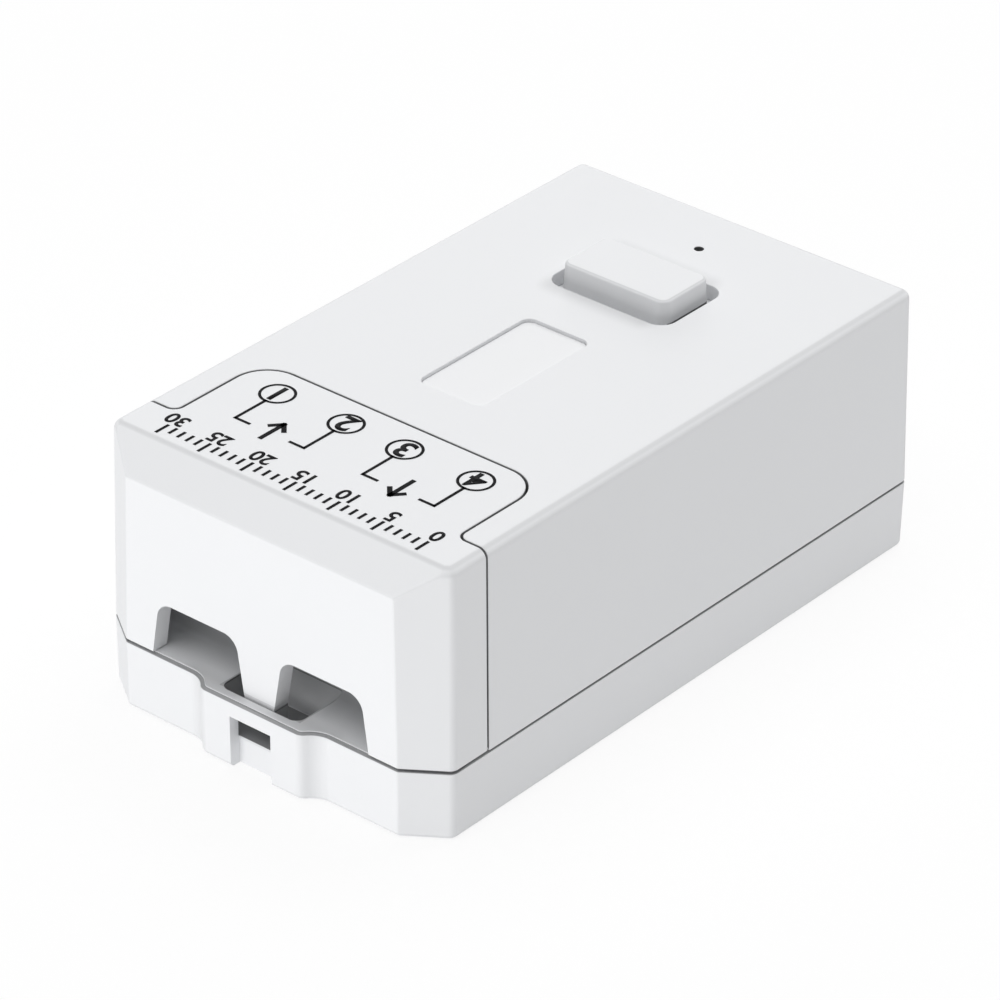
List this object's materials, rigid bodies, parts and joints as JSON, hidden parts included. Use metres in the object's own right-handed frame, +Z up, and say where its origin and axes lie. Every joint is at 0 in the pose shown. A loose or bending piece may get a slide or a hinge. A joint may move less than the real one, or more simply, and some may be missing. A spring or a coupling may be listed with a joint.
{
  "type": "radio receiver",
  "caption": "Small box-shaped wired-in radio receiver with a push button, an indicator hole and a snap-off cover over its screw terminals.",
  "frame": {"origin": "under the middle of the whole receiver, on the surface it lies on", "axes": "+X to the right seen from the cable end, +Y away from the cable end, +Z up"},
  "size_m": [0.04, 0.0696, 0.0291],
  "materials": {
    "white_shell": "fine matte moulding, softly rounded edges",
    "button_white": "fine matte moulding",
    "gloss_inset": "polished",
    "clear_plastic": "clear, polished",
    "steel": "zinc plated",
    "brass": "tinned brass strip",
    "copper_wire": "enamelled copper",
    "board_green": "glass fibre with green lacquer",
    "terminal_grey": "moulded",
    "black_plastic": "moulded",
    "led_body": "moulded, clear top",
    "core_iron": "lacquered steel sheets",
    "film_block": "moulded case",
    "disc_coat": "dipped coating",
    "fuse_coat": "flameproof coating",
    "can": "sleeved aluminium can"
  },
  "bodies": {
    "receiver": {"base_shell": "white_shell", "upper_housing": "white_shell", "window_plate": "gloss_inset", "light_pipe": "clear_plastic", "case_screws": "steel", "relay_yoke": "steel", "radio_crystal": "steel", "terminal_bars": "brass", "relay_contacts": "brass", "relay_coil": "copper_wire", "transformer_winding": "copper_wire", "antenna_coil": "copper_wire", "main_board": "board_green", "radio_board": "board_green", "terminal_block_in": "terminal_grey", "terminal_block_out": "terminal_grey", "switch_body": "black_plastic", "relay_base": "black_plastic", "relay_case": "black_plastic", "transformer_bobbin": "black_plastic", "rectifier": "black_plastic", "power_chip": "black_plastic", "control_chip": "black_plastic", "radio_chip": "black_plastic", "radio_pins": "black_plastic", "indicator_led": "led_body", "transformer_core": "core_iron", "input_capacitor": "film_block", "varistor": "disc_coat", "fuse": "fuse_coat", "bulk_capacitor": "can", "output_capacitor": "can"},
    "cover": {"terminal_cover": "white_shell"},
    "button": {"pairing_button": "button_white"},
    "plunger": {"switch_plunger": "black_plastic"},
    "armature": {"relay_armature": "steel"},
    "screw_1": {"terminal_screw_1": "steel"},
    "cage_1": {"clamp_cage_1": "steel"},
    "screw_2": {"terminal_screw_2": "steel"},
    "cage_2": {"clamp_cage_2": "steel"},
    "screw_3": {"terminal_screw_3": "steel"},
    "cage_3": {"clamp_cage_3": "steel"},
    "screw_4": {"terminal_screw_4": "steel"},
    "cage_4": {"clamp_cage_4": "steel"}
  },
  "joints": [
    {"name": "terminal_cover_lift", "type": "slide", "parent": "receiver", "child": "cover", "axis": [0, 0, 1], "range_m": [0, 0.03]},
    {"name": "button_press", "type": "slide", "parent": "receiver", "child": "button", "axis": [0, 0, -1], "range_m": [0, 0.0003], "stiffness_N_per_m": 3000},
    {"name": "plunger_press", "type": "slide", "parent": "receiver", "child": "plunger", "axis": [0, 0, -1], "range_m": [0, 0.0003]},
    {"name": "relay_armature_swing", "type": "hinge", "parent": "receiver", "child": "armature", "pos_m": [-0.0118, 0.00354, 0.0196], "axis": [1, 0, 0], "range_deg": [0, 3], "stiffness_Nm_per_rad": 0.02, "springref_deg": -2.86},
    {"name": "cage_1_rise", "type": "slide", "parent": "receiver", "child": "cage_1", "axis": [0, 0, 1], "range_m": [0, 0.0033]},
    {"name": "screw_1_turn", "type": "hinge", "parent": "receiver", "child": "screw_1", "pos_m": [-0.0116, -0.01992, 0.0235], "axis": [0, 0, -1], "range_deg": [0, 2376]},
    {"name": "cage_2_rise", "type": "slide", "parent": "receiver", "child": "cage_2", "axis": [0, 0, 1], "range_m": [0, 0.0033]},
    {"name": "screw_2_turn", "type": "hinge", "parent": "receiver", "child": "screw_2", "pos_m": [-0.0034, -0.01992, 0.0235], "axis": [0, 0, -1], "range_deg": [0, 2376]},
    {"name": "cage_3_rise", "type": "slide", "parent": "receiver", "child": "cage_3", "axis": [0, 0, 1], "range_m": [0, 0.0033]},
    {"name": "screw_3_turn", "type": "hinge", "parent": "receiver", "child": "screw_3", "pos_m": [0.0034, -0.01992, 0.0235], "axis": [0, 0, -1], "range_deg": [0, 2376]},
    {"name": "cage_4_rise", "type": "slide", "parent": "receiver", "child": "cage_4", "axis": [0, 0, 1], "range_m": [0, 0.0033]},
    {"name": "screw_4_turn", "type": "hinge", "parent": "receiver", "child": "screw_4", "pos_m": [0.0116, -0.01992, 0.0235], "axis": [0, 0, -1], "range_deg": [0, 2376]}
  ],
  "couplings": [
    {"joint": "plunger_press", "follows": "button_press", "ratio": 1},
    {"joint": "screw_1_turn", "follows": "cage_1_rise", "rad_per_m": 12566},
    {"joint": "screw_2_turn", "follows": "cage_2_rise", "rad_per_m": 12566},
    {"joint": "screw_3_turn", "follows": "cage_3_rise", "rad_per_m": 12566},
    {"joint": "screw_4_turn", "follows": "cage_4_rise", "rad_per_m": 12566}
  ]
}
